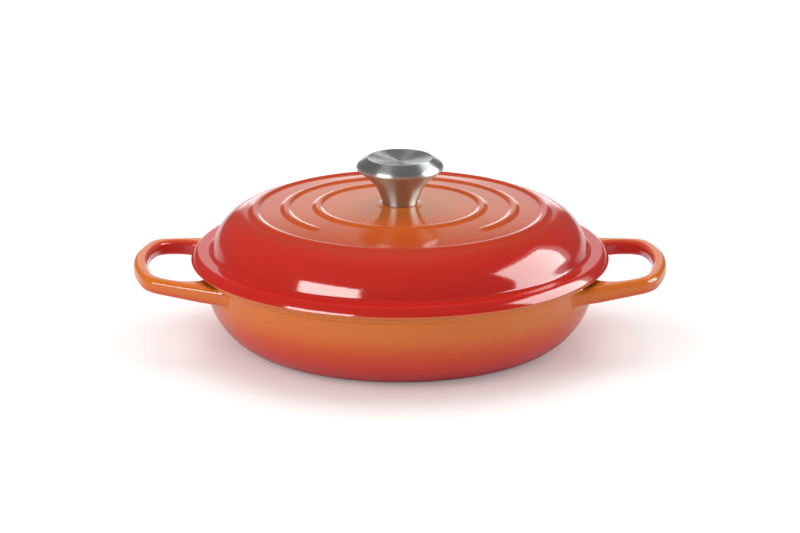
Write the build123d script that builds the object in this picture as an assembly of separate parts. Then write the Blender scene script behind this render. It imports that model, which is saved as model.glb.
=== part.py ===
from build123d import *
from math import acos, asin, cos, degrees, hypot, radians, sin, sqrt, tan
import os

# A braiser: a shallow round iron pan with two loop handles, cast in one piece, and a domed
# iron lid that carries a hollow steel knob.
# Millimetres, +Z up, handles along X, origin at the middle of the base, on the table.
# The front is -Y. The outlines below are (radius, height) points turned about Z.

# Pan: outside
rim_height = 54.8  # table to the flat top of the rim
rim_radius = 132.8  # outside of the rim's lip
lip_height = 3.6  # lip's full width, under the top of the rim
lip_flare = 3.0  # height over which the wall swells out to the lip
lip_rounding = 1.5
base_radius = 95.0  # where the flat base ends and the round corner starts
corner_run = 34.1  # how far the corner swells past the base
corner_rise = 43.0  # height over which it swells
corner_power = 1.795  # exponent of the corner's curve; 2 would be an ellipse
wall_taper = 5.7  # degrees that the wall above the corner leans out
foot_width = 14.0  # flat ring that the pan stands on
foot_depth = 0.6  # hollow inside that ring

# Pan: metal thickness
wall = 3.4
floor = 3.9
rim_rounding = 0.9  # inner edge of the rim

# Loop handles
handle_reach = 175.9  # middle of the pan to the handle's outermost point
handle_nose_radius = 115.0  # plan radius of the gently curved end
handle_nose_turn = 20.5  # degrees that the end spans on each side
handle_corner_radius = 18.0
handle_splay = 17.8  # degrees that the legs spread towards the pan
handle_band = 9.2  # width of the band in plan
handle_height = 11.0  # at the wall
handle_thinning = 2.2  # degrees between its top and its underside
handle_drop = 2.6  # rim down to the handle's top at the wall
handle_rise = 4.0  # degrees that the handle rises outwards
handle_rounding = 3.2
root_fillet = 16.0  # outer side of each root, in plan
loop_corner_share = 0.466  # corners of the loop at the nose, of the loop's depth
loop_fillet_share = 0.9  # corners of the loop at the wall, of the largest that has room
root_bury = 1.0  # how deep the handle's blank starts inside the wall

# Lid: outside
brim_radius = 138.0
brim_thickness = 6.9
brim_top_rounding = 3.0
brim_bottom_rounding = 0.8
brim_top_lean = 45.0  # degrees off upright, at the top of the brim's bowed edge
brim_bottom_lean = 18.0  # and at its bottom
dome_height = 36.8  # underside of the brim to the top of the crown
crown_radius = 1200.0  # the crown is nearly flat
flank_foot = 124.9  # radius at which the flank's line meets the brim
flank_angle = 70.0  # degrees to the table
shoulder_share = 0.82  # share of the flank's free length that the shoulder takes
cove_radius = 3.0  # hollow between flank and brim
lid_wall = 3.3

# Lid: raised rings
ring_shares = (0.5595, 0.7773, 0.991)  # crests' radii, of the radius where the crown ends
ring_width = 6.8
ring_height = 1.3
ring_break = 94.0  # degrees at the front that the middle ring leaves open

# Lid: fit on the pan
lid_play = 1.4  # radial room between the ridge and the inside of the rim
ridge_depth = 4.2
ridge_width = 3.8
ridge_rounding = 1.0

# Lid: knob seat above, pad below, screw hole between
seat_radius = 12.6
seat_rise = 0.4
pad_radius = 12.0
pad_depth = 1.0
screw_room = 0.4  # radial room for the screw in the lid

# Knob: outside
knob_radius = 28.7
knob_height = 31.5
knob_edge_drop = 6.7  # top of the dish's edge to the widest circle
dish_radius = 21.6
dish_depth = 2.6
bevel_lean = 36.0  # degrees below level at which the bevel leaves the dish
arris_radius = 24.7
arris_drop = 10.6  # top of the dish's edge to the arris
tuck_lean = 52.0  # degrees below level at which the cap comes in to the arris
stem_lean = 46.0  # degrees below level at which the stem leaves the arris
waist_radius = 17.3
waist_height = 14.1  # above the knob's foot
neck_radius = 13.9
neck_height = 7.9  # above the knob's foot
foot_radius = 11.3
foot_rounding = 0.5
foot_lean = 76.0  # degrees below level at which the stem reaches its foot

# Knob: shells and insert
cap_wall = 1.5
stem_wall = 1.8
seam_lap = 1.6  # how far the stem's edge reaches up inside the cap
lap_wall = 1.2
fit_room = 0.05  # radial room between parts pushed or screwed into each other
insert_radius = 6.0
insert_height = 13.0
flange_radius = 8.4
flange_height = 1.5

# Screw and washer
screw_radius = 3.0
screw_reach = 10.5  # how far the screw goes up inside the insert
tip_chamfer = 0.6
head_radius = 6.0
head_height = 3.4
head_rounding = 1.6
slot_width = 1.4
slot_depth = 1.5
washer_radius = 9.0
washer_thickness = 1.2

overrun = 1.0  # how far every cut runs past what it cuts

# Heights that follow from the sizes above
brim_top = rim_height + brim_thickness
crown_top = rim_height + dome_height
seat_top = crown_top + seat_rise
pad_bottom = crown_top - lid_wall - pad_depth
knob_top = seat_top + knob_height
arris_height = knob_top - arris_drop

# Radii that follow
corner_radius = base_radius + corner_run
buried_radius = corner_radius - root_bury
mouth_radius = corner_radius - wall + (rim_height - rim_rounding - corner_rise) * tan(radians(wall_taper))


def chain(*points):
    """Straight edges through points; a point given twice adds none."""
    pairs = zip(points, points[1:])
    return [Line(a, b) for a, b in pairs if hypot(a[0] - b[0], a[1] - b[1]) > 0]


def quarter(start, corner, end):
    """Quarter circle from start to end that rounds off a square corner."""
    centre = (start[0] + end[0] - corner[0], start[1] + end[1] - corner[1])
    radius = hypot(start[0] - centre[0], start[1] - centre[1])
    reach = hypot(corner[0] - centre[0], corner[1] - centre[1])
    middle = tuple(c + (k - c) * radius / reach for c, k in zip(centre, corner))
    return ThreePointArc(start, middle, end)


def sloped(degrees):
    """Direction that runs outwards and down at an angle below level."""
    return (cos(radians(degrees)), -sin(radians(degrees)))


def turned(edges, degrees=360.0, start=0.0):
    """Solid turned about Z from a closed outline."""
    face = make_face(Plane.XZ * Wire(edges))
    return revolve(Rot(0, 0, start) * face, Axis.Z, degrees)


def corner_points(run, rise, count=9):
    """Points of the pan's round corner, from the edge of the base up to the wall."""
    points = []
    for step in range(count):
        turn = radians(90) * step / (count - 1)
        out = sin(turn) ** (2 / corner_power)
        down = cos(turn) ** (2 / corner_power) if step < count - 1 else 0
        points.append((base_radius + run * out, corner_rise - rise * down))
    return points


def pan_body():
    """Outer form of the pan as a full solid, with the foot ring under it."""
    outer = corner_points(corner_run, corner_rise)
    flare_start = rim_height - lip_height - lip_flare
    neck = (corner_radius + (flare_start - corner_rise) * tan(radians(wall_taper)), flare_start)
    lip_low = (rim_radius, rim_height - lip_height)
    lip_high = (rim_radius, rim_height - lip_rounding)
    hollow = base_radius - foot_width
    edges = chain((0, foot_depth), (hollow, foot_depth), (hollow + foot_depth, 0), outer[0])
    edges += [Spline(*outer, tangents=[(1, 0), (0, 1)])]
    edges += chain(outer[-1], neck)
    lean = (sin(radians(wall_taper)), cos(radians(wall_taper)))
    edges += [Spline(neck, lip_low, tangents=[lean, (0, 1)])]
    edges += chain(lip_low, lip_high)
    edges += [quarter(lip_high, (rim_radius, rim_height), (rim_radius - lip_rounding, rim_height))]
    edges += chain((rim_radius - lip_rounding, rim_height), (0, rim_height), (0, foot_depth))
    return turned(edges)


def pan_cavity():
    """The hollow of the pan, opened past the rim, with the rim's inner edge rounded off."""
    inner = corner_points(corner_run - wall, corner_rise - floor)
    low = (mouth_radius, rim_height - rim_rounding)
    high = (mouth_radius + rim_rounding, rim_height)
    past = rim_height + overrun
    edges = chain((0, floor), inner[0])
    edges += [Spline(*inner, tangents=[(1, 0), (0, 1)])]
    edges += chain(inner[-1], low)
    edges += [quarter(low, (mouth_radius, rim_height), high)]
    edges += chain(high, (high[0], past), (0, past), (0, floor))
    return turned(edges)


def handle_outline(inset, bend):
    """Plan of one handle at +X with its edges moved in by an inset, and its corners' radius.

    Also where its straight leg starts, and which way the leg runs."""
    full = 90 - handle_splay
    across = (handle_nose_radius - handle_corner_radius) * cos(radians(full - handle_nose_turn))
    across += handle_corner_radius - inset
    nose_radius = handle_nose_radius - inset
    nose_turn = full - degrees(acos((across - bend) / (nose_radius - bend)))
    nose = JernArc((handle_reach - inset, 0), (0, 1), nose_radius, nose_turn)
    corner = JernArc(nose @ 1, nose % 1, bend, full - nose_turn)
    start, along = corner @ 1, corner % 1
    ahead = -start.dot(along)
    free = ahead - sqrt(ahead ** 2 - start.length ** 2 + buried_radius ** 2)
    leg = Line(start, start + along * (free + handle_band / cos(radians(handle_splay))))
    end = ((leg @ 1).X, (leg @ 1).Y)
    upper = make_face(Wire([nose, corner, leg, *chain(end, (end[0], 0), (handle_reach - inset, 0))]))
    return upper + mirror(upper, Plane.XZ), start, along


def handle_plan():
    """Plan of one handle at +X: its band, its web to the pan, and the loop cut out."""
    outline, _, _ = handle_outline(0, handle_corner_radius)
    loop_depth = handle_reach - handle_band - buried_radius
    loop, start, along = handle_outline(handle_band, loop_corner_share * loop_depth)
    left = outline.bounding_box().min.X
    beyond = Pos(left + handle_reach, 0) * Rectangle(2 * handle_reach, 2 * rim_radius)
    plan = fillet(outermost_on_wall(outline + Circle(buried_radius) & beyond), root_fillet)
    widest = largest_fillet(start, Vector(-along.Y, along.X))
    loop = fillet(outermost_on_wall(loop - Circle(buried_radius)), loop_fillet_share * widest)
    return plan - loop


def largest_fillet(point, normal):
    """Radius of the circle that touches a line at a point, on its normal's side, and the wall."""
    return (point.length ** 2 - buried_radius ** 2) / (2 * (buried_radius - point.dot(normal)))


def outermost_on_wall(sketch):
    """The two corners of a sketch that lie on the wall's circle, furthest out along X."""
    on_wall = [v for v in sketch.vertices() if abs(hypot(v.X, v.Y) - buried_radius) < fit_room]
    return sorted(on_wall, key=lambda v: v.X)[-2:]


def make_handle():
    """One handle at +X: the plan as a plate that thins outwards, its edges rounded."""
    plate = extrude(handle_plan(), handle_height)
    under = Pos(0, 0, -handle_height) * Box(2 * handle_reach, 2 * handle_reach, 2 * handle_height)
    plate -= Pos(corner_radius, 0, 0) * Rot(0, -handle_thinning, 0) * under
    top = plate.faces().sort_by(Axis.Z)[-1]
    bottom = plate.faces().sort_by(Axis.Z)[0]
    rims = [e for e in top.edges() + bottom.edges() if hypot(e.center().X, e.center().Y) > buried_radius]
    plate = fillet(rims, handle_rounding)
    at_wall = Pos(corner_radius, 0, rim_height - handle_drop) * Rot(0, -handle_rise, 0)
    return at_wall * Pos(-corner_radius, 0, -handle_height) * plate


def make_pan():
    """The whole casting: body and handles, hollowed."""
    handle = make_handle()
    return pan_body() + handle + Rot(0, 0, 180) * handle - pan_cavity()


def shoulder_radius():
    """Radius of the shoulder, from its share of the flank between crown and cove."""
    beta = radians(flank_angle)
    height = dome_height - brim_thickness - crown_drop(flank_foot)
    free = height / sin(beta) - cove_radius * tan(beta / 2)
    turn = beta - asin(flank_foot / crown_radius)
    return shoulder_share * free / tan(turn / 2)


def crown_drop(radius):
    """How far the crown has fallen at a plan radius."""
    return crown_radius - sqrt(crown_radius ** 2 - radius ** 2)


def dome_edges(inset):
    """Crown and shoulder arcs of the dome at a depth under its skin, and the flank's foot.

    The shoulder's circle touches the crown's circle from inside and the flank's line."""
    beta = radians(flank_angle)
    normal = (sin(beta), cos(beta))
    up = (-cos(beta), sin(beta))
    centre = crown_top - crown_radius
    radius = shoulder_radius()
    reach = crown_radius - radius
    base = (flank_foot - radius * normal[0], brim_top - radius * normal[1] - centre)
    along = base[0] * up[0] + base[1] * up[1]
    rise = sqrt(along ** 2 - base[0] ** 2 - base[1] ** 2 + reach ** 2) - along
    middle = (base[0] + rise * up[0], base[1] + rise * up[1])
    lean = asin(middle[0] / reach)

    def on_crown(angle):
        skin = crown_radius - inset
        return (skin * sin(angle), centre + skin * cos(angle))

    def on_shoulder(angle):
        skin = radius - inset
        return (middle[0] + skin * sin(angle), centre + middle[1] + skin * cos(angle))

    crown = ThreePointArc(on_crown(0), on_crown(lean / 2), on_crown(lean))
    shoulder = ThreePointArc(on_shoulder(lean), on_shoulder((lean + beta) / 2), on_shoulder(beta))
    return crown, shoulder


def arc_about(centre, radius, first, last):
    """Arc about a centre, between two angles up from level."""
    start, middle, end = (
        (centre[0] + radius * cos(radians(angle)), centre[1] + radius * sin(radians(angle)))
        for angle in (first, (first + last) / 2, last))
    return ThreePointArc(start, middle, end)


def brim_outer_edges():
    """Rounded top, bowed edge and rounded bottom of the brim, each running on into the next."""
    low, high = radians(brim_bottom_lean), radians(brim_top_lean)
    rounded = brim_bottom_rounding * (1 + sin(low)) + brim_top_rounding * (1 - sin(high))
    bow = (brim_thickness - rounded) / (sin(high) - sin(low))
    low_centre = (brim_radius - brim_bottom_rounding, rim_height + brim_bottom_rounding)
    reach = bow - brim_bottom_rounding
    bow_centre = (low_centre[0] - reach * cos(low), low_centre[1] - reach * sin(low))
    reach = bow - brim_top_rounding
    top_centre = (bow_centre[0] + reach * cos(high), bow_centre[1] + reach * sin(high))
    return [arc_about(top_centre, brim_top_rounding, 90, brim_top_lean),
            arc_about(bow_centre, bow, brim_top_lean, brim_bottom_lean),
            arc_about(low_centre, brim_bottom_rounding, brim_bottom_lean, -90)]


def brim_edges():
    """Cove, brim and locating ridge, from the flank outwards, under and in again."""
    beta = radians(flank_angle)
    tangent = cove_radius * tan(beta / 2)
    cove_start = (flank_foot - tangent * cos(beta), brim_top + tangent * sin(beta))
    cove_end = (flank_foot + tangent, brim_top)
    cove_middle = (cove_end[0] - cove_radius * sin(beta / 2),
                   brim_top + cove_radius * (1 - cos(beta / 2)))
    rounded = brim_outer_edges()
    edges = [ThreePointArc(cove_start, cove_middle, cove_end), Line(cove_end, rounded[0] @ 0), *rounded]
    low_in = (brim_radius - brim_bottom_rounding, rim_height)
    outer = mouth_radius - lid_play
    inner = outer - ridge_width
    low = rim_height - ridge_depth
    edges += chain(low_in, (outer, rim_height), (outer, low + ridge_rounding))
    edges += [quarter((outer, low + ridge_rounding), (outer, low), (outer - ridge_rounding, low))]
    edges += chain((outer - ridge_rounding, low), (inner + ridge_rounding, low))
    edges += [quarter((inner + ridge_rounding, low), (inner, low), (inner, low + ridge_rounding))]
    return edges


def lid_shell():
    """Dome, brim and locating ridge, turned in one outline."""
    crown, shoulder = dome_edges(0)
    in_crown, in_shoulder = dome_edges(lid_wall)
    brim = brim_edges()
    edges = [crown, shoulder, Line(shoulder @ 1, brim[0] @ 0), *brim]
    edges += [Line(brim[-1] @ 1, in_shoulder @ 1), in_shoulder, in_crown, Line(in_crown @ 0, crown @ 0)]
    return turned(edges)


def ring_arc(radius, side):
    """A ring's crest and one foot of its section, over the crown at a plan radius."""
    half = ring_width / 2
    base = crown_top - crown_drop(radius)
    bow = (half ** 2 + ring_height ** 2) / (2 * ring_height)
    between = (radius + side * half / 2, base + ring_height - bow + sqrt(bow ** 2 - half ** 2 / 4))
    return (radius, base + ring_height), between, (radius + side * half, base)


def make_ring(radius, degrees=360.0, start=0.0):
    """One raised ring: a low arc over the crown, its root sunk in the metal."""
    crest, _, inner = ring_arc(radius, -1)
    outer = ring_arc(radius, 1)[2]
    sunk = inner[1] - lid_wall / 2
    edges = [ThreePointArc(inner, crest, outer)]
    edges += chain(outer, (outer[0], sunk), (inner[0], sunk), inner)
    return turned(edges, degrees, start)


def lid_rings():
    """Three raised rings; the middle one is open at the front and has rounded ends."""
    crown_edge = (dome_edges(0)[0] @ 1).X
    inner, middle, outer = (crown_edge * share for share in ring_shares)
    rings = make_ring(inner) + make_ring(outer)
    rings += make_ring(middle, 360 - ring_break, ring_break / 2 - 90)
    crest, between, edge = ring_arc(0, 1)
    sunk = edge[1] - lid_wall / 2
    tip = turned([ThreePointArc(crest, between, edge), *chain(edge, (edge[0], sunk), (0, sunk), crest)])
    for side in (-1, 1):
        rings += Rot(0, 0, side * ring_break / 2 - 90) * Pos(middle, 0, -crown_drop(middle)) * tip
    return rings


def make_lid():
    """The whole lid casting with its knob seat, pad and screw hole."""
    seat = Pos(0, 0, seat_top - lid_wall / 2) * Cylinder(seat_radius, lid_wall)
    pad = Pos(0, 0, pad_bottom + lid_wall / 2) * Cylinder(pad_radius, lid_wall)
    hole = Pos(0, 0, crown_top) * Cylinder(screw_radius + screw_room, 2 * dome_height)
    return lid_shell() + lid_rings() + seat + pad - hole


def cap_edges(inset):
    """Dish, bevel and tuck of the knob's cap at a depth under its skin."""
    low = (0, knob_top - dish_depth - inset)
    edge = (dish_radius, knob_top - inset)
    bow = (dish_radius ** 2 + dish_depth ** 2) / (2 * dish_depth)
    between = (dish_radius / 2, low[1] + bow - sqrt(bow ** 2 - dish_radius ** 2 / 4))
    widest = (knob_radius - inset, knob_top - knob_edge_drop)
    arris = (arris_radius - inset, arris_height)
    inwards = sloped(180 - tuck_lean)
    return [ThreePointArc(low, between, edge),
            Spline(edge, widest, tangents=[sloped(bevel_lean), (0, -1)]),
            Spline(widest, arris, tangents=[(0, -1), inwards])]


def make_knob_cap():
    """Upper shell of the knob, open underneath, its edge seated on the stem."""
    skin = cap_edges(0)
    inside = cap_edges(cap_wall)
    edges = [*skin, Line(skin[-1] @ 1, inside[-1] @ 1), *inside, Line(inside[0] @ 0, skin[0] @ 0)]
    return turned(edges)


def make_knob_stem():
    """Lower shell of the knob: a flare with a floor, and a lap that centres the cap."""
    lap_outer = arris_radius - cap_wall - fit_room
    lap_inner = lap_outer - lap_wall
    lap_top = arris_height + seam_lap
    foot = (foot_radius, seat_top + foot_rounding)
    inner_foot = (foot_radius - stem_wall, seat_top + stem_wall)
    bore = insert_radius + fit_room
    leave, arrive = sloped(180 - stem_lean), sloped(180 - foot_lean)
    skin = Spline((arris_radius, arris_height), (waist_radius, seat_top + waist_height),
                  (neck_radius, seat_top + neck_height), foot, tangents=[leave, arrive])
    inside = Spline((lap_inner, arris_height), (waist_radius - stem_wall * sqrt(2), seat_top + waist_height),
                    (neck_radius - stem_wall, seat_top + neck_height), inner_foot,
                    tangents=[leave, arrive])
    edges = [skin, quarter(foot, (foot_radius, seat_top), (foot_radius - foot_rounding, seat_top))]
    edges += chain((foot_radius - foot_rounding, seat_top), (bore, seat_top),
                   (bore, seat_top + stem_wall), inner_foot)
    edges += [inside]
    edges += chain((lap_inner, arris_height), (lap_inner, lap_top), (lap_outer, lap_top),
                   (lap_outer, arris_height), (arris_radius, arris_height))
    return turned(edges)


def make_insert():
    """Threaded bush: its spigot passes the stem's floor, its flange pulls the stem down."""
    body = Pos(0, 0, seat_top + insert_height / 2) * Cylinder(insert_radius, insert_height)
    flange_at = seat_top + stem_wall + flange_height / 2
    flange = Pos(0, 0, flange_at) * Cylinder(flange_radius, flange_height)
    bore = Pos(0, 0, seat_top + insert_height / 2) * Cylinder(screw_radius + fit_room,
                                                              insert_height + 2 * overrun)
    return body + flange - bore


def make_screw():
    """Slotted pan-head screw, head down, its point inside the insert."""
    seat = pad_bottom - washer_thickness
    length = seat_top + screw_reach - seat
    low = seat - head_height
    tip = seat + length
    edges = chain((0, low), (head_radius - head_rounding, low))
    edges += [quarter((head_radius - head_rounding, low), (head_radius, low), (head_radius, low + head_rounding))]
    edges += chain((head_radius, low + head_rounding), (head_radius, seat), (screw_radius, seat),
                   (screw_radius, tip - tip_chamfer), (screw_radius - tip_chamfer, tip), (0, tip), (0, low))
    slot = Pos(0, 0, low + (slot_depth - overrun) / 2) * Box(2 * (head_radius + overrun), slot_width,
                                                             slot_depth + overrun)
    return turned(edges) - slot


def make_washer():
    """Flat washer between the screw's head and the pad under the lid."""
    disc = Pos(0, 0, pad_bottom - washer_thickness / 2) * Cylinder(washer_radius, washer_thickness)
    hole = Pos(0, 0, pad_bottom) * Cylinder(screw_radius + screw_room / 2, 2 * (washer_thickness + overrun))
    return disc - hole


pieces = {
    "pan_casting": make_pan(),
    "lid_casting": make_lid(),
    "knob_cap": make_knob_cap(),
    "knob_stem": make_knob_stem(),
    "knob_insert": make_insert(),
    "knob_screw": make_screw(),
    "screw_washer": make_washer(),
}

os.makedirs("parts", exist_ok=True)
for name, piece in pieces.items():
    export_step(piece, f"parts/{name}.step")
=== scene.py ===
from cmath import phase, rect
from math import acos, asin, atan2, cos, degrees, hypot, pi, radians, sin, sqrt, tan

import bpy
import numpy as np
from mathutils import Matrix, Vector


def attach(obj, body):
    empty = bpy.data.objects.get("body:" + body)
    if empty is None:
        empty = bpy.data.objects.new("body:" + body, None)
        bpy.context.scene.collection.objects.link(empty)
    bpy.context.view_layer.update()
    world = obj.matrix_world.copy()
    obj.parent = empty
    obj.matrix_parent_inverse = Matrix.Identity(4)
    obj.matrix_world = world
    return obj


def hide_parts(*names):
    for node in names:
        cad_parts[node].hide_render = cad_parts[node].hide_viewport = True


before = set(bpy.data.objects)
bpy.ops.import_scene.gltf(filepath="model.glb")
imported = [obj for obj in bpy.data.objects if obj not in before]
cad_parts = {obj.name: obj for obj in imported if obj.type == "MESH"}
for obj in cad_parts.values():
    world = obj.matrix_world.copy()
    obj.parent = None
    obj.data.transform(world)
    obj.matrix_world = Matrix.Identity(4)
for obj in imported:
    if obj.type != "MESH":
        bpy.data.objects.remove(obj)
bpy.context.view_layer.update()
mm = 0.001

# The pan's bowl is sand-cast iron, thin in the wall, with a flat ring to stand on and a thicker lip.
# It is enamelled in glass: flame orange sprayed over red outside, sand inside, and only a thin
# dark ground coat on the rim that the lid sits on.

rim_height = 54.8 * mm
rim_radius = 132.8 * mm
lip_height = 3.6 * mm
lip_flare = 3.0 * mm
lip_rounding = 1.5 * mm
base_radius = 95.0 * mm
corner_run = 34.1 * mm
corner_rise = 43.0 * mm
corner_power = 1.795
wall_taper = radians(5.7)
foot_width = 14.0 * mm
foot_depth = 0.6 * mm
foot_rounding = 0.9 * mm
wall = 3.4 * mm
floor = 3.9 * mm
rim_rounding = 0.9 * mm
corner_radius = base_radius + corner_run
mouth_radius = corner_radius - wall + (rim_height - rim_rounding - corner_rise) * tan(wall_taper)
pan_sides = 240
corner_steps = 30
seam = 0.001 * mm  # points nearer to each other than this are one
red_height = 6.0 * mm
fade_height = 44.0 * mm
wave_size = 14.0 * mm
peel_size = 1.6 * mm
specks_per_metre = 420
sand_chip = (214, 198, 168)
speck_chip = (120, 96, 74)
ground_chip = (46, 38, 36)
dark_ground_chip = (30, 26, 26)
pinhole_chip = (70, 20, 12)


def arc(centre, radius, start, end, count):
    """Points of an arc; angles in degrees from straight out, up is 90."""
    turns = (radians(start + (end - start) * step / count) for step in range(count + 1))
    return [(centre[0] + radius * cos(turn), centre[1] + radius * sin(turn)) for turn in turns]


def swept(start, leave, end, arrive, count):
    """Points of a smooth curve that leaves and arrives in the given directions (degrees)."""
    chord = hypot(end[0] - start[0], end[1] - start[1])
    points = []
    for step in range(count + 1):
        t = step / count
        ends = (2 * t ** 3 - 3 * t ** 2 + 1, 3 * t ** 2 - 2 * t ** 3)
        pulls = ((t ** 3 - 2 * t ** 2 + t) * chord, (t ** 3 - t ** 2) * chord)
        points.append(tuple(ends[0] * a + ends[1] * b + pulls[0] * turn(radians(leave))
                            + pulls[1] * turn(radians(arrive))
                            for a, b, turn in zip(start, end, (cos, sin))))
    return points


def straight(start, end, count):
    """Evenly spaced points from start to end."""
    return [tuple(a + (b - a) * step / count for a, b in zip(start, end)) for step in range(count + 1)]


def joined(*stretches):
    """One outline from several stretches, without doubled points."""
    outline = []
    for point in (p for stretch in stretches for p in stretch):
        if not outline or hypot(point[0] - outline[-1][0], point[1] - outline[-1][1]) > seam:
            outline.append(point)
    return outline


def swollen_corner(run, rise):
    """Round corner of the bowl, from its flat bottom up to its wall."""
    points = []
    for step in range(corner_steps + 1):
        turn = radians(90) * step / corner_steps
        out = sin(turn) ** (2 / corner_power)
        down = cos(turn) ** (2 / corner_power) if step < corner_steps else 0
        points.append((base_radius + run * out, corner_rise - rise * down))
    return points


def bowl_outline():
    """Outside of the bowl, the top of its rim, and its inside down to the middle of the floor."""
    hollow = base_radius - foot_width
    flare_start = rim_height - lip_height - lip_flare
    neck = (corner_radius + (flare_start - corner_rise) * tan(wall_taper), flare_start)
    lip_low = (rim_radius, rim_height - lip_height)
    lip_middle = (rim_radius - lip_rounding, rim_height - lip_rounding)
    edge_middle = (mouth_radius + rim_rounding, rim_height - rim_rounding)
    outer_corner = swollen_corner(corner_run, corner_rise)
    inner_corner = swollen_corner(corner_run - wall, corner_rise - floor)
    outside = joined(
        straight((0, foot_depth), (hollow - foot_rounding, foot_depth), 6),
        swept((hollow - foot_rounding, foot_depth), 0, (hollow + foot_rounding, 0), 0, 6),
        straight((hollow + foot_rounding, 0), (base_radius, 0), 4), outer_corner,
        straight(outer_corner[-1], neck, 4),
        swept(neck, 90 - degrees(wall_taper), lip_low, 90, 8),
        arc(lip_middle, lip_rounding, 0, 60, 5))
    rim = joined(
        arc(lip_middle, lip_rounding, 66, 90, 2),
        straight((lip_middle[0], rim_height), (edge_middle[0], rim_height), 3),
        arc(edge_middle, rim_rounding, 90, 150, 4))
    inside = joined(
        arc(edge_middle, rim_rounding, 160, 180, 1),
        straight((mouth_radius, edge_middle[1]), inner_corner[-1], 4),
        inner_corner[::-1], straight((base_radius, floor), (0, floor), 12))
    return outside, rim, inside


def add(tree, kind, links=(), **settings):
    """A node in a tree; links fills its sockets with values or with other nodes' outputs."""
    made = tree.nodes.new(kind)
    for name, value in settings.items():
        setattr(made, name, value)
    for socket, value in dict(links).items():
        if isinstance(value, bpy.types.NodeSocket):
            tree.links.new(value, made.inputs[socket])
        else:
            made.inputs[socket].default_value = value
    return made


def new_tree(name, kind, inputs, outputs):
    """An empty node group with its named sockets."""
    tree = bpy.data.node_groups.new(name, kind)
    for in_out, sockets in (("INPUT", inputs), ("OUTPUT", outputs)):
        for socket, socket_type in sockets.items():
            tree.interface.new_socket(socket, in_out=in_out, socket_type=socket_type)
    return tree


def math(tree, operation, *values):
    """Result of a Math node."""
    return add(tree, "ShaderNodeMath", dict(enumerate(values)), operation=operation).outputs[0]


def lathe_tree():
    """Turns an outline in the XZ plane once round Z and carries its coat value along."""
    tree = new_tree("turned_casting", "GeometryNodeTree",
                    {"Outline": "NodeSocketGeometry", "Sides": "NodeSocketInt",
                     "Finish": "NodeSocketMaterial"},
                    {"Piece": "NodeSocketGeometry"})
    given = add(tree, "NodeGroupInput").outputs
    points = add(tree, "GeometryNodeAttributeDomainSize", {0: given["Outline"]}).outputs["Point Count"]
    columns = add(tree, "FunctionNodeIntegerMath", {0: given["Sides"], 1: 1}, operation="ADD").outputs[0]
    grid = add(tree, "GeometryNodeMeshGrid", {"Vertices X": points, "Vertices Y": columns}).outputs["Mesh"]
    index = add(tree, "GeometryNodeInputIndex").outputs[0]
    row = add(tree, "FunctionNodeIntegerMath", {0: index, 1: columns}, operation="DIVIDE_FLOOR").outputs[0]
    column = add(tree, "FunctionNodeIntegerMath", {0: index, 1: columns}, operation="MODULO").outputs[0]
    position = add(tree, "GeometryNodeInputPosition").outputs[0]
    place = add(tree, "GeometryNodeSampleIndex", {0: given["Outline"], "Value": position, "Index": row},
                data_type="FLOAT_VECTOR").outputs[0]
    named = add(tree, "GeometryNodeInputNamedAttribute", {"Name": "coat"}, data_type="FLOAT").outputs[0]
    coat = add(tree, "GeometryNodeSampleIndex", {0: given["Outline"], "Value": named, "Index": row},
               data_type="FLOAT").outputs[0]
    turn = math(tree, "DIVIDE", math(tree, "MULTIPLY", column, 2 * pi), given["Sides"])
    turned = add(tree, "ShaderNodeVectorRotate", {"Vector": place, "Angle": turn}, rotation_type="Z_AXIS")
    placed = add(tree, "GeometryNodeSetPosition", {0: grid, "Position": turned.outputs[0]}).outputs[0]
    kept = add(tree, "GeometryNodeStoreNamedAttribute", {0: placed, "Name": "coat", "Value": coat},
               data_type="FLOAT", domain="POINT").outputs[0]
    closed = add(tree, "GeometryNodeMergeByDistance", {0: kept, "Distance": seam}).outputs[0]
    smooth = add(tree, "GeometryNodeSetShadeSmooth", {0: closed}).outputs[0]
    real = add(tree, "GeometryNodeRealizeInstances", {0: smooth}).outputs[0]
    painted = add(tree, "GeometryNodeSetMaterial", {0: real, "Material": given["Finish"]}).outputs[0]
    add(tree, "NodeGroupOutput", {0: painted})
    return tree


lathe = lathe_tree()


def carried_out(piece, tree, values):
    """Runs a tree on a piece with the given inputs and leaves a plain mesh in its place."""
    work = piece.modifiers.new(tree.name, "NODES")
    work.node_group = tree
    for socket in tree.interface.items_tree:
        if socket.in_out == "INPUT" and socket.name in values:
            work[socket.identifier] = values[socket.name]
    done = piece.evaluated_get(bpy.context.evaluated_depsgraph_get())
    mesh = bpy.data.meshes.new_from_object(done, depsgraph=bpy.context.evaluated_depsgraph_get())
    piece.modifiers.remove(work)
    piece.data = mesh
    mesh.name = piece.name


def turned(name, outlines, sides, finish):
    """A piece turned on the lathe from outlines of (radius, height) points, one for each coat."""
    outline = [point for stretch in outlines for point in stretch]
    coats = [coat for coat, stretch in enumerate(outlines) for _ in stretch]
    mesh = bpy.data.meshes.new(name)
    mesh.from_pydata([(r, 0, z) for r, z in outline], [(k, k + 1) for k in range(len(outline) - 1)], [])
    mesh.attributes.new("coat", "FLOAT", "POINT").data.foreach_set("value", coats)
    piece = bpy.data.objects.new(name, mesh)
    bpy.context.scene.collection.objects.link(piece)
    carried_out(piece, lathe, {"Sides": sides, "Finish": finish})
    return piece


def linear(*chip):
    """Linear colour from the 0 to 255 values of a paint chip."""
    return tuple((v / 255 / 12.92) if v < 11 else ((v / 255 + 0.055) / 1.055) ** 2.4 for v in chip) + (1,)


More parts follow.
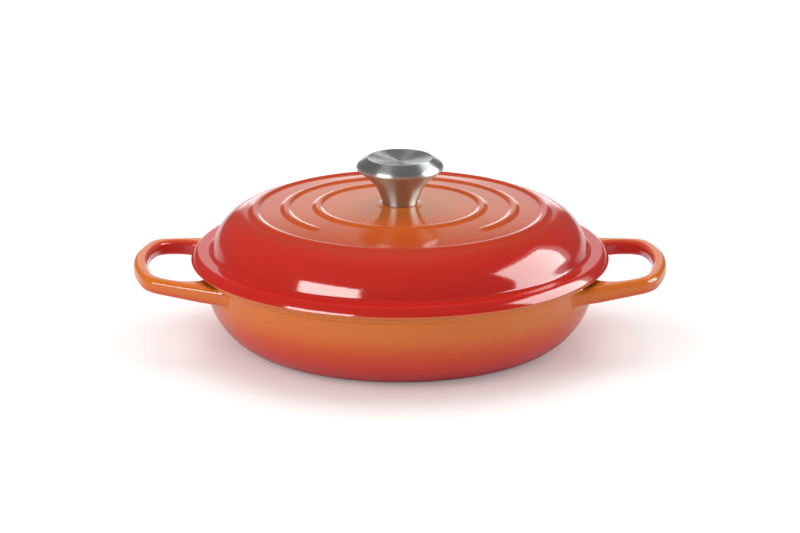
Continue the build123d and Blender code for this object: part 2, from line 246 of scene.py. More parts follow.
def enamel_glass_group():
    """What all the enamel shares: slow waves, fine peel and the odd pinhole in the glass."""
    tree = new_tree("enamel_glass", "ShaderNodeTree",
                    dict.fromkeys(("Wave Size", "Peel Size", "Seed"), "NodeSocketFloat"),
                    dict.fromkeys(("Height", "Drift", "Pinholes"), "NodeSocketFloat"))
    given = add(tree, "NodeGroupInput").outputs
    place = add(tree, "ShaderNodeTexCoord").outputs["Object"]
    noises = []
    for size, detail in (("Wave Size", 2), ("Peel Size", 3)):
        noises.append(add(tree, "ShaderNodeTexNoise",
                          {"Vector": place, "W": given["Seed"], "Scale": math(tree, "DIVIDE", 1, given[size]),
                           "Detail": detail}, noise_dimensions="4D").outputs[0])
    wave, peel = noises
    dots = add(tree, "ShaderNodeTexVoronoi",
               {"Vector": place, "Scale": math(tree, "DIVIDE", 0.4, given["Peel Size"])}).outputs["Distance"]
    holes = add(tree, "ShaderNodeMapRange", {"Value": dots, "From Min": 0.03, "From Max": 0.09,
                                             "To Min": 1, "To Max": 0}).outputs[0]
    height = math(tree, "MULTIPLY_ADD", wave, 4, peel)
    add(tree, "NodeGroupOutput", {"Height": height, "Drift": wave, "Pinholes": holes})
    return tree


enamel_glass = enamel_glass_group()


def ramp(tree, value, stops):
    """Colour ramp through paint chips at the given places."""
    made = add(tree, "ShaderNodeValToRGB", {0: value})
    band = made.color_ramp
    for place, chip in stops[1:-1]:
        band.elements.new(place).color = linear(*chip)
    for stop, (place, chip) in ((band.elements[0], stops[0]), (band.elements[-1], stops[-1])):
        stop.position, stop.color = place, linear(*chip)
    return made.outputs[0]


def mixed(tree, share, first, second):
    """Colour between two colours."""
    links = {"Factor": share, "A": first, "B": second}
    made = tree.nodes.new("ShaderNodeMix")
    made.data_type = "RGBA"
    for socket in made.inputs:
        if socket.enabled and socket.name in links:
            value = links[socket.name]
            if isinstance(value, bpy.types.NodeSocket):
                tree.links.new(value, socket)
            else:
                socket.default_value = value
    return next(s for s in made.outputs if s.enabled)


def new_material(name):
    """A material with its shader, ready for its colour."""
    made = bpy.data.materials.new(name)
    made.use_nodes = True
    return made, made.node_tree, made.node_tree.nodes["Principled BSDF"]


def enamel(name, outside):
    """Enamel over cast iron. Its coat value is 0 for the flame colour outside, 1 for the dark
    ground coat at the rim and 2 for the sand inside."""
    made, tree, shader = new_material(name)
    glass = add(tree, "ShaderNodeGroup", {"Wave Size": wave_size, "Peel Size": peel_size, "Seed": 3.0},
                node_tree=enamel_glass).outputs
    coat = add(tree, "ShaderNodeAttribute", attribute_name="coat").outputs["Fac"]
    # On the lid this outside colour also carries a painted reflection line along the bottom of the brim's
    # edge.
    outside_colour = outside(tree, glass)
    inner = add(tree, "ShaderNodeMapRange", {"Value": coat, "From Min": 1.5, "From Max": 1.6}).outputs[0]
    bare = add(tree, "ShaderNodeMapRange", {"Value": coat, "From Min": 0.4, "From Max": 0.6}).outputs[0]
    place = add(tree, "ShaderNodeTexCoord").outputs["Object"]
    specks = add(tree, "ShaderNodeTexVoronoi",
                 {"Vector": place, "Scale": specks_per_metre}).outputs["Distance"]
    clear = add(tree, "ShaderNodeMapRange",
                {"Value": specks, "From Min": 0.05, "From Max": 0.13}).outputs[0]
    sand = mixed(tree, clear, linear(*speck_chip), linear(*sand_chip))
    ground = mixed(tree, glass["Drift"], linear(*ground_chip), linear(*dark_ground_chip))
    colour = mixed(tree, inner, mixed(tree, bare, outside_colour, ground), sand)
    colour = mixed(tree, math(tree, "MULTIPLY", glass["Pinholes"], 0.12), colour, linear(*pinhole_chip))
    rough = math(tree, "MULTIPLY_ADD", bare, 0.3, math(tree, "MULTIPLY_ADD", glass["Drift"], 0.05, 0.07))
    rough = math(tree, "SUBTRACT", rough, math(tree, "MULTIPLY", inner, 0.18))
    bump = add(tree, "ShaderNodeBump", {"Strength": 0.35, "Distance": 0.05 * mm, "Height": glass["Height"]})
    tree.links.new(colour, shader.inputs["Base Color"])
    tree.links.new(rough, shader.inputs["Roughness"])
    tree.links.new(bump.outputs[0], shader.inputs["Normal"])
    shader.inputs["IOR"].default_value = 1.5
    return made


pan_flames = ((0.0, (202, 48, 50)), (0.25, (212, 60, 46)), (0.5, (213, 82, 38)), (0.74, (217, 108, 34)),
              (1.0, (220, 116, 38)))


def pan_flame(tree, glass):
    """Orange sprayed over red: by height on the bowl, by the spray attribute on the handles."""
    spray = add(tree, "ShaderNodeAttribute", attribute_name="spray").outputs["Fac"]
    drift = math(tree, "MULTIPLY_ADD", glass["Drift"], 0.12, -0.06)
    return ramp(tree, math(tree, "ADD", spray, drift), pan_flames)


pan_enamel = enamel("pan_enamel", pan_flame)
bowl = bowl_outline()
pan = turned("pan_shell", bowl, pan_sides, pan_enamel)

# The two loop handles are cast in one with the bowl: a flat band, bent round, that leans up a
# little and flows into the wall. The orange spray reaches their tops and outer faces only, so the
# inner face of each loop stays red.

handle_reach = 175.9 * mm
nose_radius = 115.0 * mm
nose_turn = radians(20.5)
bend_radius = 18.0 * mm
loop_bend = 18.0 * mm
splay = radians(17.8)
band = 9.2 * mm
band_height = 11.0 * mm
thinning = radians(2.2)
handle_drop = 2.6 * mm
handle_rise = radians(4.0)
band_rounding = 3.2 * mm
root_fillet = 16.0 * mm
loop_fillet = 16.7 * mm
top_fillet = 1.6 * mm
under_fillet = 4.0 * mm
buried_radius = corner_radius - 1.0 * mm
root_spray = 0.9
fade_start, fade_stations = 4, 10
lean_run = 12  # mm from the wall, over which the band's lean sets in
clear_step = 100  # mm from the wall, past every fillet
root_steps = [-0.6, 0, 0.05, 0.15, 0.35, 0.65, 1.0, 1.5, 2.1, 2.9, 4.0, 5.4, 7.2, 9.5]
leg_steps, bend_steps, nose_steps = 9, 12, 10
across = rect(1, radians(90) - splay)  # square to a leg, outwards
back = across * 1j  # along a leg, towards the pan
nose_middle = complex(handle_reach - nose_radius, 0)
leg_distance = (nose_radius - bend_radius) * cos(radians(90) - splay - nose_turn) + bend_radius
wall_radii, wall_heights = zip(*bowl[0])


def dot(a, b):
    """Dot product of two plan directions."""
    return (a * b.conjugate()).real


def wall_at(height):
    """Outside radius of the bowl at a height."""
    return float(np.interp(height, wall_heights, wall_radii))


def side_plan(outer):
    """One side of the handle in plan, with the fillet that leads it round into the wall."""
    inset, bend, fillet, sign = band, loop_bend, loop_fillet, -1
    if outer:
        inset, bend, fillet, sign = 0, bend_radius, root_fillet, 1
    nose = nose_radius - inset
    turn = radians(90) - splay - acos((leg_distance - inset - bend) / (nose - bend))
    centre = nose_middle + rect(nose - bend, turn)
    start = centre + across * bend
    aside = start + across * sign * fillet
    run = -dot(aside, back) - sqrt(dot(aside, back) ** 2 - abs(aside) ** 2 + (buried_radius + fillet) ** 2)
    return {"outer": outer, "sign": sign, "nose": nose, "turn": turn, "bend": bend, "centre": centre,
            "fillet": fillet, "start": start, "run": run, "middle": aside + back * run}


def depth_inside(side, point):
    """How far a plan point lies inside the band from one of its sides."""
    gone = dot(point - side["start"], back)
    if gone > side["run"]:
        return abs(point - side["middle"]) - side["fillet"]
    if gone > 0:
        return -side["sign"] * dot(point - side["start"], across)
    if phase(point - side["centre"]) > side["turn"]:
        return side["sign"] * (side["bend"] - abs(point - side["centre"]))
    return side["sign"] * (side["nose"] - abs(point - nose_middle))


def found(value, low, high, rounds=24):
    """Where a rising function of one number passes zero."""
    for _ in range(rounds):
        middle = (low + high) / 2
        low, high = (low, middle) if value(middle) > 0 else (middle, high)
    return (low + high) / 2


def side_points(side, wall_radius):
    """Plan points along one side, from just inside the wall to the middle of the nose."""
    away = phase(side["middle"])
    points = []
    for step in root_steps:
        radius = wall_radius + step * mm
        if side["outer"]:
            turn = found(lambda t: -depth_inside(side, rect(radius, t)), radians(2), away)
        else:
            turn = found(lambda t: depth_inside(side, rect(radius, t)), away, radians(40))
        points.append(rect(radius, turn))
    straight_run = min(side["run"], dot(points[-1] - side["start"], back))
    last = side["start"] + back * straight_run
    swing = phase((points[-1] - side["middle"]) / (last - side["middle"]))
    curved = abs(swing) * side["fillet"] if side["run"] < dot(points[-1] - side["start"], back) else 0
    for step in range(1, leg_steps + 1):
        gone = (curved + straight_run) * step / leg_steps
        if gone < curved:
            turned_by = rect(1, swing * (1 - gone / curved))
            points.append(side["middle"] + (last - side["middle"]) * turned_by)
        else:
            points.append(last - back * (gone - curved))
    for step in range(1, bend_steps + 1):
        turn = (radians(90) - splay) + (side["turn"] - radians(90) + splay) * step / bend_steps
        points.append(side["centre"] + rect(side["bend"], turn))
    for step in range(1, nose_steps + 1):
        points.append(nose_middle + rect(side["nose"], side["turn"] * (1 - step / nose_steps)))
    return points


def between(inner, outer, share):
    """Plan point between the two sides, on a line that is bent round the pan's middle."""
    return rect(abs(inner) + (abs(outer) - abs(inner)) * share,
                phase(inner) + (phase(outer) - phase(inner)) * share)


def edge_drop(depth):
    """How far the band's rounded edge has fallen at a depth inside its side."""
    short = 1 - min(max(depth, 0), band_rounding) / band_rounding
    return band_rounding * (1 - sqrt(1 - short ** 2))


rounding_shares = [1 - cos(radians(90) * k / 5) for k in range(1, 6)]
rails = [("top", 0.5 + 0.5 * k / 3) for k in range(0, 3)]
rails += [("top outer", share) for share in rounding_shares[::-1]]
rails += [("outer", share) for share in (0, 0.5, 1)]
rails += [("under outer", share) for share in rounding_shares]
rails += [("under", 1 - k / 6) for k in range(1, 6)]
rails += [("under inner", share) for share in rounding_shares[::-1]]
rails += [("inner", share) for share in (1, 0.5, 0)]
rails += [("top inner", share) for share in rounding_shares]
rails += [("top", k / 6) for k in range(1, 3)]


def fillet_rise(step, radius):
    """How far a fillet of a radius has climbed the wall at a distance from it."""
    short = min(max(step * mm, 0), radius)
    return radius - sqrt(radius ** 2 - (radius - short) ** 2)


top_level = rim_height - handle_drop
plans = [side_plan(outer) for outer in (False, True)]
points_at = {}


def sides_at(height):
    """Points of both sides for the wall's radius at a height."""
    key = round(wall_at(height) / mm, 2)
    if key not in points_at:
        points_at[key] = [side_points(plan, key * mm) for plan in plans]
    return points_at[key]


def handle_point(station, rail, share):
    """Place of one point of a handle at +X, and how much spray it takes."""
    step = root_steps[station] if station < len(root_steps) else clear_step
    height = top_level - (band_height / 2 if rail in ("outer", "inner") else 0)
    height -= band_height if "under" in rail else 0
    for _ in range(3):
        inner, outer = (points[station] for points in sides_at(height))

        def depth(t, plan):
            return depth_inside(plan, between(inner, outer, t))

        edges = []
        for plan, low in zip(plans, (0, 1)):
            edges.append(found(lambda t: depth(low + (0.5 - low) * t, plan) - band_rounding, 0, 1))
        shares = {"outer": 1, "inner": 0}
        if rail in shares:
            t = shares[rail]
        elif rail in ("top", "under"):
            low, high = edges[0] / 2, 1 - edges[1] / 2
            t = low + (high - low) * share
        else:
            plan, end = (plans[1], 1) if "outer" in rail else (plans[0], 0)
            goal = share * min(band_rounding, depth(0.5, plan))
            gone = found(lambda k: depth(end + (0.5 - end) * k, plan) - goal, 0, 1)
            t = end + (0.5 - end) * gone
        point = between(inner, outer, t)
        deep = min(depth_inside(plan, point) for plan in plans)
        out = point.real - corner_radius
        tall = band_height - max(out, 0) * tan(thinning)
        drop = edge_drop(deep)
        flat = 1 - drop / band_rounding
        if rail in ("outer", "inner"):
            below = band_rounding + (tall - 2 * band_rounding) * share
            lift = 0
        elif "top" in rail:
            below = drop
            lift = fillet_rise(step, top_fillet) * flat
        else:
            below = tall - drop
            lift = -fillet_rise(step, under_fillet) * flat
        lean = min(1, max(0, step / lean_run))
        x = point.real + (out * (cos(handle_rise) - 1) if out > 0 else 0) + below * sin(handle_rise) * lean
        z = top_level + out * sin(handle_rise) - below * cos(handle_rise) + lift
        height = z
    return (x, point.imag, z)


def handle_spray(station, rail, share):
    """How much orange reaches a point: all at the root, little on the inner face of the loop."""
    from_root = min(1, max(0, (station - fade_start) / fade_stations))
    faces = {"inner": 0.0, "top inner": 0.75 - 0.6 * (1 - share), "under inner": 0.1, "under": 0.35,
             "under outer": 0.5, "outer": 0.9 - 0.25 * share, "top outer": 0.9, "top": 0.76}
    return root_spray + (faces[rail] - root_spray) * from_root


def handle_mesh():
    """Points, faces and spray of one handle at +X, closed at both buried ends."""
    stations = len(root_steps) + leg_steps + bend_steps + nose_steps
    half = [[handle_point(s, rail, share) for rail, share in rails] for s in range(stations)]
    sprays = [[handle_spray(s, rail, share) for rail, share in rails] for s in range(stations)]
    rows = half + [[(x, -y, z) for x, y, z in row] for row in half[-2::-1]]
    spray = sprays + sprays[-2::-1]
    count = len(rails)
    points = [point for row in rows for point in row]
    faces = []
    for row in range(len(rows) - 1):
        for k in range(count):
            n = (k + 1) % count
            faces.append((row * count + k, row * count + n, (row + 1) * count + n, (row + 1) * count + k))
    faces.append(tuple(range(count))[::-1])
    faces.append(tuple((len(rows) - 1) * count + k for k in range(count)))
    return points, faces, [value for row in spray for value in row]


def wall_spray(height):
    """Orange from the rim down, red towards the base."""
    return min(1, max(0, (height - red_height) / fade_height)) ** 0.9


def welded(piece, meshes, finish):
    """Adds loose shells with their spray to a piece's mesh, which keeps its coat."""
    mesh = piece.data
    count = len(mesh.vertices)
    places = np.zeros(count * 3, np.float32)
    mesh.vertices.foreach_get("co", places)
    coats = np.zeros(count, np.float32)
    mesh.attributes["coat"].data.foreach_get("value", coats)
    points = [tuple(p) for p in places.reshape(-1, 3)]
    faces = [tuple(face.vertices) for face in mesh.polygons]
    sprays = [wall_spray(height) for _, _, height in points]
    for more_points, more_faces, more_sprays in meshes:
        faces += [tuple(v + len(points) for v in face) for face in more_faces]
        points += more_points
        sprays += more_sprays
    whole = bpy.data.meshes.new(piece.name)
    whole.from_pydata(points, [], faces)
    coats = list(coats) + [0.0] * (len(points) - count)
    whole.attributes.new("coat", "FLOAT", "POINT").data.foreach_set("value", coats)
    whole.attributes.new("spray", "FLOAT", "POINT").data.foreach_set("value", sprays)
    whole.materials.append(finish)
    whole.shade_smooth()
    piece.data = whole


points, faces, spray = handle_mesh()
opposite = [(-x, -y, z) for x, y, z in points]
welded(pan, [(points, faces, spray), (opposite, faces, spray)], pan_enamel)
pan.data.set_sharp_from_angle(angle=radians(40))
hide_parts("pan_casting")
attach(pan, "pan")

# The lid is a second casting: a domed plate with a broad brim, three raised rings on top and a
# ridge underneath that drops inside the pan's rim. The middle ring is open at the front. It is
# enamelled orange on the crown, red on the flank, and sand underneath.

brim_radius = 138.0 * mm
brim_thickness = 6.9 * mm
brim_top_rounding = 3.0 * mm
brim_bottom_rounding = 0.8 * mm
brim_top_lean = radians(45)
brim_bottom_lean = radians(18)
dome_height = 36.8 * mm
crown_radius = 1200.0 * mm
flank_foot = 124.9 * mm
flank_angle = radians(70)
shoulder_share = 0.82
cove_radius = 3.0 * mm
lid_wall = 3.3 * mm
ring_radii = (54.2 * mm, 75.3 * mm, 96.0 * mm)
ring_half_width = 3.9 * mm
ring_height = 1.3 * mm
ring_gap = radians(94)
lid_play = 1.4 * mm
ridge_depth = 4.2 * mm
ridge_width = 3.8 * mm
ridge_rounding = 1.0 * mm
seat_radius = 12.6 * mm
seat_rise = 0.4 * mm
pad_radius = 12.0 * mm
pad_depth = 1.0 * mm
hole_radius = 3.4 * mm
seat_rounding = 0.4 * mm
brim_seam = 0.2 * mm
crown_start = seat_radius + 3.6 * mm
crown_reach = 110.0 * mm
fine_step, coarse_step = 0.5 * mm, 2.2 * mm
ring_margin = 1.2 * mm
under_step, under_steps = 6.0 * mm, 16
lid_sides = 360
brim_top = rim_height + brim_thickness
crown_top = rim_height + dome_height
seat_top = crown_top + seat_rise


def dome_stretches(inset, steps):
    """Crown and shoulder of the dome at a depth under its skin, out from the middle."""
    drop = crown_radius - sqrt(crown_radius ** 2 - flank_foot ** 2)
    free = (dome_height - brim_thickness - drop) / sin(flank_angle) - cove_radius * tan(flank_angle / 2)
    bend = flank_angle - asin(flank_foot / crown_radius)
    shoulder = shoulder_share * free / tan(bend / 2)
    centre = crown_top - crown_radius
    reach = crown_radius - shoulder
    base = complex(flank_foot - shoulder * sin(flank_angle), brim_top - shoulder * cos(flank_angle) - centre)
    up = complex(-cos(flank_angle), sin(flank_angle))
    along = dot(base, up)
    middle = base + up * (sqrt(along ** 2 - abs(base) ** 2 + reach ** 2) - along)
    lean = asin(middle.real / reach)
    skin = crown_radius - inset
    crown = [(skin * sin(t), centre + skin * cos(t)) for t in (asin(min(r / skin, sin(lean))) for r in steps)]
    shoulder_arc = arc((middle.real, centre + middle.imag), shoulder - inset, 90 - degrees(lean),
                       90 - degrees(flank_angle), 26)
    return crown, shoulder_arc


def crown_steps():
    """Radii over the crown, close together where the rings will rise."""
    radius, steps = crown_start, []
    while radius <= crown_reach:
        steps.append(radius)
        near = any(abs(radius - ring) < ring_half_width + ring_margin for ring in ring_radii)
        radius += fine_step if near else coarse_step
    return steps


def brim_edge():
    """Rounded top, bowed edge and rounded bottom of the brim."""
    low, high = brim_bottom_lean, brim_top_lean
    taken = brim_bottom_rounding * (1 + sin(low)) + brim_top_rounding * (1 - sin(high))
    bow = (brim_thickness - taken) / (sin(high) - sin(low))
    bottom = complex(brim_radius - brim_bottom_rounding, rim_height + brim_bottom_rounding)
    middle = bottom - (bow - brim_bottom_rounding) * complex(cos(low), sin(low))
    top = middle + (bow - brim_top_rounding) * complex(cos(high), sin(high))
    return joined(
        arc((top.real, top.imag), brim_top_rounding, 90, degrees(high), 6),
        arc((middle.real, middle.imag), bow, degrees(high), degrees(low), 10),
        arc((bottom.real, bottom.imag), brim_bottom_rounding, degrees(low), -90, 7))


def lid_outline():
    """Top of the lid from the screw hole out, the edge that sits on the pan, and the underside."""
    crown, shoulder = dome_stretches(0, crown_steps())
    under_radii = [pad_radius + under_step * k for k in range(under_steps)]
    low_crown, low_shoulder = dome_stretches(lid_wall, under_radii)
    tangent = cove_radius * tan(flank_angle / 2)
    cove_centre = (flank_foot + tangent, brim_top + cove_radius)
    cove = arc(cove_centre, cove_radius, 270 - degrees(flank_angle), 270, 12)
    outer = mouth_radius - lid_play
    inner = outer - ridge_width
    low = rim_height - ridge_depth
    r = ridge_rounding
    seat_edge = (seat_radius - seat_rounding, seat_top)
    pad_level = crown_top - lid_wall - pad_depth
    rounded = brim_edge()
    over = joined(
        straight((hole_radius, seat_top), seat_edge, 3),
        swept(seat_edge, 0, crown[0], 0, 8), crown, shoulder,
        straight(shoulder[-1], cove[0], 3), cove,
        straight(cove[-1], rounded[0], 3), rounded)
    edge = joined(
        straight((brim_radius - brim_bottom_rounding - brim_seam, rim_height), (outer, rim_height), 4),
        straight((outer, rim_height), (outer, low + r), 2), arc((outer - r, low + r), r, 0, -80, 4))
    under = joined(
        arc((inner + r, low + r), r, -90, -180, 4),
        straight((inner, low + r), low_shoulder[-1], 4), low_shoulder[::-1], low_crown[::-1],
        straight((pad_radius, low_crown[0][1]), (pad_radius, pad_level), 1),
        straight((pad_radius, pad_level), (hole_radius, pad_level), 3),
        straight((hole_radius, pad_level), (hole_radius, seat_top), 3))
    return over, edge, under


def from_axis(tree, place):
    """Distance of a place, split into X, Y and Z, from the Z axis."""
    squares = math(tree, "ADD", math(tree, "MULTIPLY", place["X"], place["X"]),
                   math(tree, "MULTIPLY", place["Y"], place["Y"]))
    return math(tree, "SQRT", squares)


def ring_tree():
    """Raises three rings out of the crown; the middle one is open at the front."""
    sockets = {"Lid": "NodeSocketGeometry", "Inner Ring": "NodeSocketFloat", "Middle Ring": "NodeSocketFloat",
               "Outer Ring": "NodeSocketFloat", "Half Width": "NodeSocketFloat", "Height": "NodeSocketFloat",
               "Front Gap": "NodeSocketFloat", "Finish": "NodeSocketMaterial"}
    tree = new_tree("raised_rings", "GeometryNodeTree", sockets, {"Lid": "NodeSocketGeometry"})
    given = add(tree, "NodeGroupInput").outputs
    place = add(tree, "ShaderNodeSeparateXYZ", {0: add(tree, "GeometryNodeInputPosition").outputs[0]}).outputs
    radius = from_axis(tree, place)
    front = math(tree, "ABSOLUTE", math(tree, "ARCTAN2", place["X"], math(tree, "MULTIPLY", place["Y"], -1)))
    half_gap = math(tree, "DIVIDE", given["Front Gap"], 2)
    short = math(tree, "MAXIMUM", math(tree, "SUBTRACT", half_gap, front), 0)
    rise = None
    for name in ("Inner Ring", "Middle Ring", "Outer Ring"):
        off = math(tree, "SUBTRACT", radius, given[name])
        square = math(tree, "MULTIPLY", off, off)
        if name == "Middle Ring":
            past = math(tree, "MULTIPLY", short, given[name])
            square = math(tree, "ADD", square, math(tree, "MULTIPLY", past, past))
        share = math(tree, "DIVIDE", square, math(tree, "MULTIPLY", given["Half Width"], given["Half Width"]))
        swell = math(tree, "POWER", math(tree, "MAXIMUM", math(tree, "SUBTRACT", 1, share), 0), 1.5)
        rise = swell if rise is None else math(tree, "ADD", rise, swell)
    lift = math(tree, "MULTIPLY", rise, given["Height"])
    normal = add(tree, "GeometryNodeInputNormal").outputs[0]
    steepness = add(tree, "ShaderNodeSeparateXYZ", {0: normal}).outputs["Z"]
    upper = math(tree, "GREATER_THAN", steepness, 0.5)
    offset = add(tree, "ShaderNodeCombineXYZ", {"Z": math(tree, "MULTIPLY", lift, upper)}).outputs[0]
    moved = add(tree, "GeometryNodeSetPosition", {0: given["Lid"], "Offset": offset}).outputs[0]
    real = add(tree, "GeometryNodeRealizeInstances", {0: moved}).outputs[0]
    painted = add(tree, "GeometryNodeSetMaterial", {0: real, "Material": given["Finish"]}).outputs[0]
    add(tree, "NodeGroupOutput", {0: painted})
    return tree


lid_flames = ((0.0, (222, 122, 34)), (0.12, (220, 118, 34)), (0.3, (203, 94, 30)), (0.62, (196, 78, 28)),
              (0.73, (192, 52, 28)), (0.82, (200, 43, 31)), (1.0, (199, 37, 27)))
# Painted reflection: an orange line along the bottom rounding of the brim's edge, in place of reflected
# light.
edge_reflection_chip = (226, 116, 62)
edge_reflection_heights = (0.5 * mm, 1.4 * mm)  # heights over the rim between which the painted reflection line fades


def lid_flame_and_edge_reflection(tree, glass):
    """Orange on the crown turning red outside the rings, and a painted orange reflection line along the
    bottom of the brim's edge.
    """
    place = add(tree, "ShaderNodeSeparateXYZ", {0: add(tree, "ShaderNodeTexCoord").outputs["Object"]}).outputs
    out = math(tree, "DIVIDE", from_axis(tree, place), brim_radius)
    drift = math(tree, "MULTIPLY_ADD", glass["Drift"], 0.04, -0.02)
    # edge masks the painted reflection line on the brim's bottom rounding.
    edge = add(tree, "ShaderNodeMapRange",
               {"Value": place["Z"], "From Min": rim_height + edge_reflection_heights[0],
                "From Max": rim_height + edge_reflection_heights[1], "To Min": 1, "To Max": 0}).outputs[0]
    return mixed(tree, edge, ramp(tree, math(tree, "ADD", out, drift), lid_flames), linear(*edge_reflection_chip))


lid_enamel = enamel("lid_enamel", lid_flame_and_edge_reflection)
lid = turned("lid_shell", lid_outline(), lid_sides, lid_enamel)
carried_out(lid, ring_tree(), {"Inner Ring": ring_radii[0], "Middle Ring": ring_radii[1],
                               "Outer Ring": ring_radii[2], "Half Width": ring_half_width,
                               "Height": ring_height, "Front Gap": ring_gap, "Finish": lid_enamel})
lid.data.set_sharp_from_angle(angle=radians(50))
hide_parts("lid_casting")
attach(lid, "lid")

# The knob is pressed and turned stainless steel: a stem that flares out of a narrow foot, and a
# cap with a shallow dish, welded to it at the arris and brushed on the lathe.

knob_radius = 28.7 * mm
knob_height = 31.5 * mm
knob_edge_drop = 6.7 * mm
dish_radius = 21.6 * mm
dish_depth = 2.6 * mm
bevel_lean = 36.0
arris_radius = 24.7 * mm
arris_drop = 10.6 * mm
tuck_lean = 52.0
stem_lean = 46.0
foot_lean = 76.0
waist = (17.3 * mm, 14.1 * mm)
neck = (13.9 * mm, 7.9 * mm)
foot_radius = 11.3 * mm
foot_edge = 0.5 * mm
cap_wall = 1.5 * mm
stem_wall = 1.8 * mm
bush_radius = 6.05 * mm
knob_sides = 192
knob_top = seat_top + knob_height
arris_height = knob_top - arris_drop


def cap_skin(inset):
    """Dish, bevel and tuck of the cap at a depth under its skin."""
    bow = (dish_radius ** 2 + dish_depth ** 2) / (2 * dish_depth)
    swing = degrees(asin(dish_radius / bow))
    dish = arc((0, knob_top - dish_depth - inset + bow), bow, -90, -90 + swing, 14)
    widest = (knob_radius - inset, knob_top - knob_edge_drop)
    arris = (arris_radius - inset, arris_height)
    return joined(dish, swept(dish[-1], -bevel_lean, widest, -90, 16),
                  swept(widest, -90, arris, -180 + tuck_lean, 10))


def stem_skin(inset):
    """Flare of the stem from the arris down to its foot, at a depth under its skin."""
    marks = [(arris_radius - inset, arris_height), (waist[0] - inset, seat_top + waist[1]),
             (neck[0] - inset, seat_top + neck[1]), (foot_radius - inset, seat_top + max(foot_edge, inset))]
    first = -180 + stem_lean
    turn_1 = degrees(atan2(marks[2][1] - marks[0][1], marks[2][0] - marks[0][0]))
    turn_2 = degrees(atan2(marks[3][1] - marks[1][1], marks[3][0] - marks[1][0]))
    return joined(swept(marks[0], first, marks[1], turn_1, 12), swept(marks[1], turn_1, marks[2], turn_2, 10),
                  swept(marks[2], turn_2, marks[3], -180 + foot_lean, 10))


def turning_marks_group():
    """Fine grooves that a lathe leaves round a piece, as a height and as a slow change of shine."""
    tree = new_tree("turning_marks", "ShaderNodeTree", {"Spacing": "NodeSocketFloat"},
                    {"Height": "NodeSocketFloat", "Shine": "NodeSocketFloat"})
    given = add(tree, "NodeGroupInput").outputs
    place = add(tree, "ShaderNodeSeparateXYZ", {0: add(tree, "ShaderNodeTexCoord").outputs["Object"]}).outputs
    line = add(tree, "ShaderNodeCombineXYZ", {"X": from_axis(tree, place), "Y": place["Z"]}).outputs[0]
    fine, slow = (add(tree, "ShaderNodeTexNoise",
                      {"Vector": line, "Scale": math(tree, "DIVIDE", scale, given["Spacing"]),
                       "Detail": detail}).outputs[0] for scale, detail in ((1, 3), (0.12, 2)))
    add(tree, "NodeGroupOutput", {"Height": fine, "Shine": slow})
    return tree


turning_marks = turning_marks_group()


def steel(name, chip, spacing, roughness, stretch):
    """Turned stainless steel."""
    made, tree, shader = new_material(name)
    marks = add(tree, "ShaderNodeGroup", {"Spacing": spacing}, node_tree=turning_marks).outputs
    rough = math(tree, "MULTIPLY_ADD", marks["Shine"], 0.12, roughness)
    dull = mixed(tree, marks["Shine"], linear(*chip), linear(*(v * 0.86 for v in chip)))
    bump = add(tree, "ShaderNodeBump", {"Strength": 0.2, "Distance": 0.004 * mm, "Height": marks["Height"]})
    round_z = add(tree, "ShaderNodeTangent", direction_type="RADIAL", axis="Z").outputs[0]
    tree.links.new(dull, shader.inputs["Base Color"])
    tree.links.new(rough, shader.inputs["Roughness"])
    tree.links.new(bump.outputs[0], shader.inputs["Normal"])
    tree.links.new(round_z, shader.inputs["Tangent"])
    shader.inputs["Metallic"].default_value = 0.92
    shader.inputs["Anisotropic"].default_value = stretch
    shader.inputs["Anisotropic Rotation"].default_value = 0.25
    return made


knob_steel = steel("knob_steel", (200, 199, 196), 0.25 * mm, 0.28, 0.93)
cap_outline = joined(cap_skin(0), cap_skin(cap_wall)[::-1])
cap = turned("knob_cap_skin", [cap_outline], knob_sides, knob_steel)
foot = [(foot_radius, seat_top + foot_edge), (foot_radius - foot_edge, seat_top), (bush_radius, seat_top),
        (bush_radius, seat_top + stem_wall)]
stem_outline = joined(stem_skin(0), foot, stem_skin(stem_wall)[::-1], [(arris_radius, arris_height)])
stem = turned("knob_stem_skin", [stem_outline], knob_sides, knob_steel)
for piece, node in ((cap, "knob_cap"), (stem, "knob_stem")):
    piece.data.set_sharp_from_angle(angle=radians(35))
    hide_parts(node)
    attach(piece, "lid")

# The screw comes up through the lid from below, over a flat washer, into a threaded bush welded
# in the knob's foot. All three are plain turned stainless steel.

fixing_steel = steel("fixing_steel", (172, 172, 171), 0.4 * mm, 0.26, 0.4)
for node in ("knob_insert", "knob_screw", "screw_washer"):
    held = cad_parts[node].data.materials
    held.clear()
    held.append(fixing_steel)

# The table is one pale sheet that the object stands on, white like the photograph's ground. Out
# where the lamps don't reach it is made up to the same white by a glow that only the camera sees.

table_reach = 6.0  # metres from the middle to each side
table_drop = 0.02 * mm  # keeps the sheet just clear of the pan's foot
table_mesh = bpy.data.meshes.new("table_top")
corners = [(x * table_reach, y * table_reach, -table_drop) for x, y in ((-1, -1), (1, -1), (1, 1), (-1, 1))]
table_mesh.from_pydata(corners, [], [(0, 1, 2, 3)])
table = bpy.data.objects.new("table_top", table_mesh)
bpy.context.scene.collection.objects.link(table)
table_paint, tree, shader = new_material("table_paint")
shader.inputs["Roughness"].default_value = 0.7
shader.inputs["Specular IOR Level"].default_value = 0.2
shader.inputs["Base Color"].default_value = (0.88, 0.87, 0.86, 1)
shader.inputs["Emission Color"].default_value = (1, 1, 1, 1)
place = add(tree, "ShaderNodeTexCoord").outputs["Object"]
away = add(tree, "ShaderNodeVectorMath", {0: place}, operation="LENGTH").outputs["Value"]
glow = add(tree, "ShaderNodeMapRange", {"Value": away, "From Min": 0.6, "From Max": 2.0, "To Min": 0.2,
                                        "To Max": 0.8}, interpolation_type="SMOOTHSTEP").outputs[0]
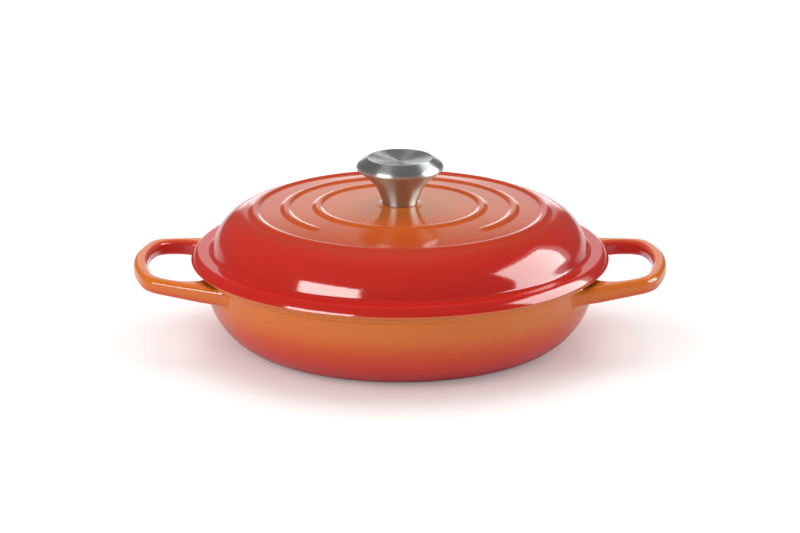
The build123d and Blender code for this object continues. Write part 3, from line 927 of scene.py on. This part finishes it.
tree.links.new(math(tree, "MULTIPLY", add(tree, "ShaderNodeLightPath").outputs["Is Camera Ray"], glow),
               shader.inputs["Emission Strength"])
table_mesh.materials.append(table_paint)

# The studio: a camera with a long lens a little above the object, soft lamps, and cards that only
# the glaze and the steel reflect. The room they reflect is dim, with a pale ground low behind the
# object, and the camera itself sees it white.

target = Vector((0, 0, 48.7 * mm))
camera_distance = 2658 * mm
camera_height = radians(16.5)
box_distance = 1.6
camera_data = bpy.data.cameras.new("camera")
camera_data.sensor_width = 36
camera_data.lens = 180.7
camera_data.clip_end = 50
camera = bpy.data.objects.new("camera", camera_data)
bpy.context.scene.collection.objects.link(camera)
camera.location = target + camera_distance * Vector((0, -cos(camera_height), sin(camera_height)))
camera.rotation_euler = (radians(90) - camera_height, 0, 0)
bpy.context.scene.camera = camera


def soft_box(name, azimuth, elevation, width, height, radiance):
    """A rectangular lamp that faces the object. Azimuth 0 is the camera's side, 90 the right."""
    lamp = bpy.data.lights.new(name, "AREA")
    lamp.shape = "RECTANGLE"
    lamp.size, lamp.size_y, lamp.energy = width, height, radiance * pi * width * height
    box = bpy.data.objects.new(name, lamp)
    bpy.context.scene.collection.objects.link(box)
    a, e = radians(azimuth), radians(elevation)
    away = Vector((sin(a) * cos(e), -cos(a) * cos(e), sin(e)))
    box.location = target + away * box_distance
    box.rotation_euler = away.to_track_quat("Z", "Y").to_euler()
    return box


# Three lamps do the lighting, and three cards show only as reflections.
lamps = (("overhead_lamp", 180, 72, 1.5, 1.5, 1.75), ("front_lamp", -58, 28, 1.2, 1.0, 1.75),
         ("right_lamp", 100, 30, 1.0, 1.0, 0.5))
cards = (("window_card", -43.5, 18.5, 1.03, 0.40, 15.5), ("right_card", 96, 25, 1.36, 1.0, 8.8),
         ("right_edge_card", 99, 25, 1.6, 1.2, 1.2))
for lamp in lamps:
    soft_box(*lamp).visible_glossy = False
for card in cards:
    box = soft_box(*card)
    box.data.color = (0.9, 1, 0.98)
    box.visible_diffuse = False


def fading(tree, value, full, gone):
    """1 up to one value, falling smoothly to 0 at another."""
    return add(tree, "ShaderNodeMapRange",
               {"Value": value, "From Min": full, "From Max": gone, "To Min": 1, "To Max": 0},
               interpolation_type="SMOOTHSTEP").outputs[0]


world = bpy.data.worlds.new("studio")
bpy.context.scene.world = world
world.use_nodes = True
tree = world.node_tree
light = tree.nodes["Background"]
path = add(tree, "ShaderNodeLightPath").outputs
aim = add(tree, "ShaderNodeSeparateXYZ", {0: add(tree, "ShaderNodeTexCoord").outputs["Generated"]}).outputs
greys = ((0.0, 228), (0.29, 246), (0.37, 176), (0.46, 124))
high = ramp(tree, aim["Z"], [(level, (grey, grey, grey)) for level, grey in greys])
low = fading(tree, aim["Z"], 0.08, 0.17)
near = fading(tree, math(tree, "ABSOLUTE", aim["X"]), 0.14, 0.23)
behind = math(tree, "MULTIPLY", near, math(tree, "GREATER_THAN", aim["Y"], 0))
dim, pale, fill = ((level, level, level, 1) for level in (0.14, 2.3, 0.62))
reflected = mixed(tree, behind, dim, mixed(tree, low, high, pale))
room = mixed(tree, path["Is Glossy Ray"], fill, reflected)
seen = math(tree, "MAXIMUM", path["Is Camera Ray"], path["Is Transmission Ray"])
tree.links.new(mixed(tree, seen, room, (1, 1, 1, 1)), light.inputs["Color"])
bpy.context.scene.view_settings.view_transform = "Standard"
